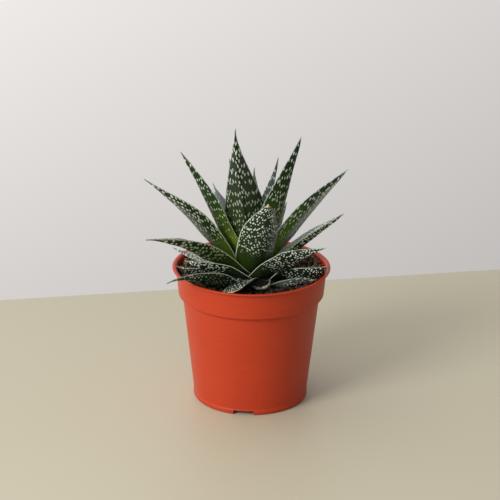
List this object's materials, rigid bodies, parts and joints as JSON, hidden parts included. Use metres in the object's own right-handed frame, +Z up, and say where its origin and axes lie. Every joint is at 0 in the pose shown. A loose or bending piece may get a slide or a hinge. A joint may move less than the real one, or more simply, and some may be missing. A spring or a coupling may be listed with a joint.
{
  "type": "potted gasteria",
  "caption": "Rosette of pointed, fleshy leaves with pale bumps and toothed margins, in the soil of a round tapered nursery pot.",
  "frame": {"origin": "centre of the pot's foot, on the surface it stands on, on the pot's axis", "axes": "+Z up along the pot's axis, -Y the side that faces the viewer, +X to the viewer's right"},
  "size_m": [0.1503, 0.1367, 0.2199],
  "materials": {
    "pot_plastic": "satin",
    "soil_peat": "matte",
    "stem_tissue": "matte",
    "leaf_green": "satin",
    "leaf_dried": "matte"
  },
  "bodies": {
    "root": {"pot": "pot_plastic", "soil": "soil_peat", "stem": "stem_tissue", "leaf_middle_tall": "leaf_green", "leaf_left_upper": "leaf_green", "leaf_left_long": "leaf_green", "leaf_left_arching": "leaf_green", "leaf_left_under": "leaf_green", "leaf_left_low": "leaf_green", "leaf_left_lowest": "leaf_green", "leaf_left_over_lip": "leaf_green", "leaf_front_curled": "leaf_green", "leaf_front_dried": "leaf_dried", "leaf_front_short": "leaf_green", "leaf_right_tall": "leaf_green", "leaf_right_long": "leaf_green", "leaf_right_low": "leaf_green", "leaf_right_front": "leaf_green", "leaf_right_lowest": "leaf_green", "leaf_right_small": "leaf_green", "leaf_back_right": "leaf_green", "leaf_back_right_short": "leaf_green", "leaf_back_inner": "leaf_green", "leaf_back_left_inner": "leaf_green", "leaf_back_left": "leaf_green", "leaf_back_middle": "leaf_green", "leaf_back_left_low": "leaf_green", "leaf_back_low": "leaf_green", "leaf_back_right_low": "leaf_green", "leaf_youngest": "leaf_green"}
  },
  "joints": []
}
